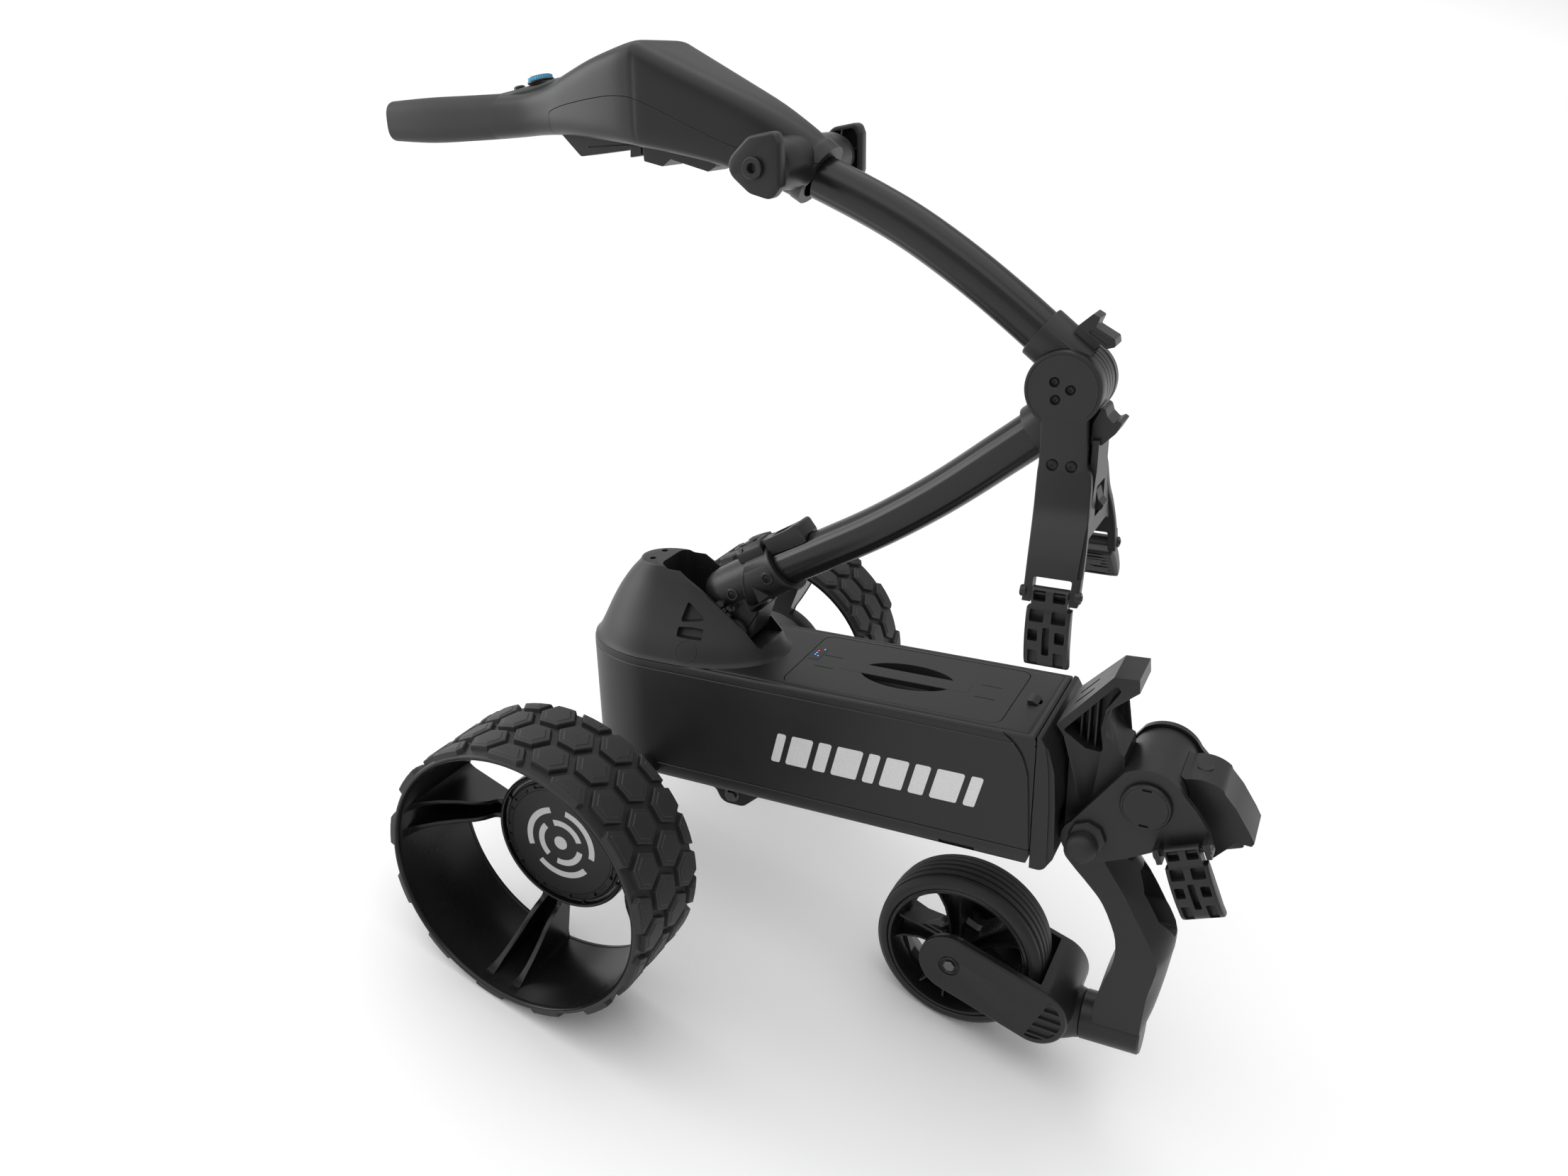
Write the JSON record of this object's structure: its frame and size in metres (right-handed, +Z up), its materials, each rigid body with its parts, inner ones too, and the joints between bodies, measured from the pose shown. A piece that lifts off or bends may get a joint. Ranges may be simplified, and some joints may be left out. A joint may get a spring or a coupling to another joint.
{
  "type": "electric golf trolley",
  "caption": "Black three-wheeled electric golf trolley, half folded, with drive wheels, battery housing, jointed mast and handle, bag pads and folding caster leg.",
  "frame": {"origin": "on the floor, under the middle of the footprint", "axes": "+X towards the folding caster leg, +Y to the trolley's left, +Z up"},
  "size_m": [1.1096, 0.649, 0.8402],
  "materials": {
    "housing": "fine satin grain",
    "casting": "satin, glass filled",
    "tube": "satin black anodised",
    "tread": "matt",
    "gloss": "semi gloss",
    "rubber": "matt",
    "blue": "satin",
    "steel": "brushed",
    "cell": "matt"
  },
  "bodies": {
    "chassis": {"axle_tube": "tube", "body_shell": "housing", "body_tray": "housing", "cradle_bracket": "casting", "dome_cover": "housing", "front_frame": "housing", "front_hinge_pin": "housing", "hub_motor_left": "steel", "hub_motor_right": "steel", "mast_bracket": "casting", "mast_pin": "steel", "tail_bracket": "casting"},
    "battery": {"battery_case": "cell", "battery_lid": "housing"},
    "battery_latch_slider": {"battery_latch": "casting"},
    "drive_wheel_left": {"drive_rim_left": "gloss", "drive_tyre_left": "tread", "hub_cap_left": "housing"},
    "drive_wheel_right": {"drive_rim_right": "gloss", "drive_tyre_right": "tread", "hub_cap_right": "housing"},
    "lower_mast": {"mast_root": "casting", "lower_tube": "tube", "clamp_collar": "casting", "lower_knuckle": "casting", "mid_hinge_pin": "steel", "bag_arm_left": "casting", "bag_arm_right": "casting", "arm_web": "casting"},
    "collar_cam_lever": {"collar_lever": "casting"},
    "web_lever": {"cradle_lever": "casting"},
    "hinge_hook": {"arm_latch": "casting"},
    "bag_pad_upper_left": {"upper_pad_left": "rubber"},
    "bag_pad_upper_right": {"upper_pad_right": "rubber"},
    "upper_mast": {"upper_knuckle": "casting", "upper_tube": "tube", "handle_base": "housing", "handle_cover": "housing", "handle_grip": "rubber", "knob_boss_left": "casting", "knob_boss_right": "casting"},
    "hinge_latch": {"mast_latch": "casting"},
    "side_knob_left": {"knob_left": "casting"},
    "side_knob_right": {"knob_right": "casting"},
    "dial": {"speed_dial": "blue"},
    "button": {"power_button": "blue"},
    "folding_leg": {"leg": "casting", "leg_cheek_left": "casting", "leg_cheek_right": "casting", "stop_bumper_left": "rubber", "stop_bumper_right": "rubber", "bag_shelf": "casting"},
    "bag_pad_lower_left": {"lower_pad_left": "rubber"},
    "bag_pad_lower_right": {"lower_pad_right": "rubber"},
    "caster": {"caster_fork": "casting", "caster_axle": "steel"},
    "caster_wheel": {"caster_rim": "gloss", "caster_tyre": "rubber"}
  },
  "joints": [
    {"name": "drive_spin_left", "type": "hinge", "parent": "chassis", "child": "drive_wheel_left", "pos_m": [-0.0331, 0.27, 0.145], "axis": [0, 1, 0], "continuous": true},
    {"name": "drive_spin_right", "type": "hinge", "parent": "chassis", "child": "drive_wheel_right", "pos_m": [-0.0331, -0.27, 0.145], "axis": [0, 1, 0], "continuous": true},
    {"name": "battery_lift", "type": "slide", "parent": "chassis", "child": "battery", "axis": [-0.3279, 0, 0.9447], "range_m": [0, 0.05]},
    {"name": "battery_latch_slide", "type": "slide", "parent": "chassis", "child": "battery_latch_slider", "axis": [0.9447, 0, 0.3279], "range_m": [0, 0.004]},
    {"name": "lower_mast_fold", "type": "hinge", "parent": "chassis", "child": "lower_mast", "pos_m": [-0.00177, 0, 0.32312], "axis": [0, -1, 0], "range_deg": [-5, 36]},
    {"name": "collar_lever_open", "type": "hinge", "parent": "lower_mast", "child": "collar_cam_lever", "pos_m": [-0.02788, 0, 0.40583], "axis": [0, -1, 0], "range_deg": [0, 48]},
    {"name": "upper_mast_fold", "type": "hinge", "parent": "lower_mast", "child": "upper_mast", "pos_m": [0.21701, 0, 0.70411], "axis": [0, 1, 0], "range_deg": [-30, 74]},
    {"name": "hinge_latch_lift", "type": "hinge", "parent": "upper_mast", "child": "hinge_latch", "pos_m": [0.23489, 0, 0.75139], "axis": [0, 1, 0], "range_deg": [0, 15]},
    {"name": "hinge_hook_press", "type": "hinge", "parent": "lower_mast", "child": "hinge_hook", "pos_m": [0.25931, 0, 0.66883], "axis": [0, 1, 0], "range_deg": [0, 12]},
    {"name": "web_lever_press", "type": "hinge", "parent": "lower_mast", "child": "web_lever", "pos_m": [0.27548, 0, 0.62469], "axis": [0, 1, 0], "range_deg": [0, 20]},
    {"name": "upper_pad_tilt_left", "type": "hinge", "parent": "lower_mast", "child": "bag_pad_upper_left", "pos_m": [0.28483, 0.0775, 0.54802], "axis": [0.9447, 0, 0.3279], "range_deg": [-65, 15]},
    {"name": "side_knob_turn_left", "type": "hinge", "parent": "upper_mast", "child": "side_knob_left", "pos_m": [-0.08818, 0.1, 0.79169], "axis": [0, 1, 0], "continuous": true},
    {"name": "lower_pad_tilt_left", "type": "hinge", "parent": "folding_leg", "child": "bag_pad_lower_left", "pos_m": [0.48915, 0.0625, 0.36648], "axis": [0.7531, 0, 0.6579], "range_deg": [0, 60]},
    {"name": "upper_pad_tilt_right", "type": "hinge", "parent": "lower_mast", "child": "bag_pad_upper_right", "pos_m": [0.28483, -0.0775, 0.54802], "axis": [-0.9447, 0, -0.3279], "range_deg": [-20, 60]},
    {"name": "side_knob_turn_right", "type": "hinge", "parent": "upper_mast", "child": "side_knob_right", "pos_m": [-0.08818, -0.1, 0.79169], "axis": [0, 1, 0], "continuous": true},
    {"name": "lower_pad_tilt_right", "type": "hinge", "parent": "folding_leg", "child": "bag_pad_lower_right", "pos_m": [0.48915, -0.0625, 0.36648], "axis": [-0.7531, 0, -0.6579], "range_deg": [0, 60]},
    {"name": "dial_turn", "type": "hinge", "parent": "upper_mast", "child": "dial", "pos_m": [-0.37707, 0, 0.76552], "axis": [-0.515, 0, 0.8572], "continuous": true},
    {"name": "button_press", "type": "slide", "parent": "upper_mast", "child": "button", "axis": [0.515, 0, -0.8572], "range_m": [0, 0.0015], "stiffness_N_per_m": 400},
    {"name": "leg_fold", "type": "hinge", "parent": "chassis", "child": "folding_leg", "pos_m": [0.44243, 0, 0.38519], "axis": [0, -1, 0], "range_deg": [0, 82]},
    {"name": "caster_swivel", "type": "hinge", "parent": "folding_leg", "child": "caster", "pos_m": [0.49351, 0, 0.08706], "axis": [0.9447, 0, 0.3279], "continuous": true},
    {"name": "caster_spin", "type": "hinge", "parent": "caster", "child": "caster_wheel", "pos_m": [0.34957, 0, 0.0931], "axis": [0, 1, 0], "continuous": true}
  ]
}
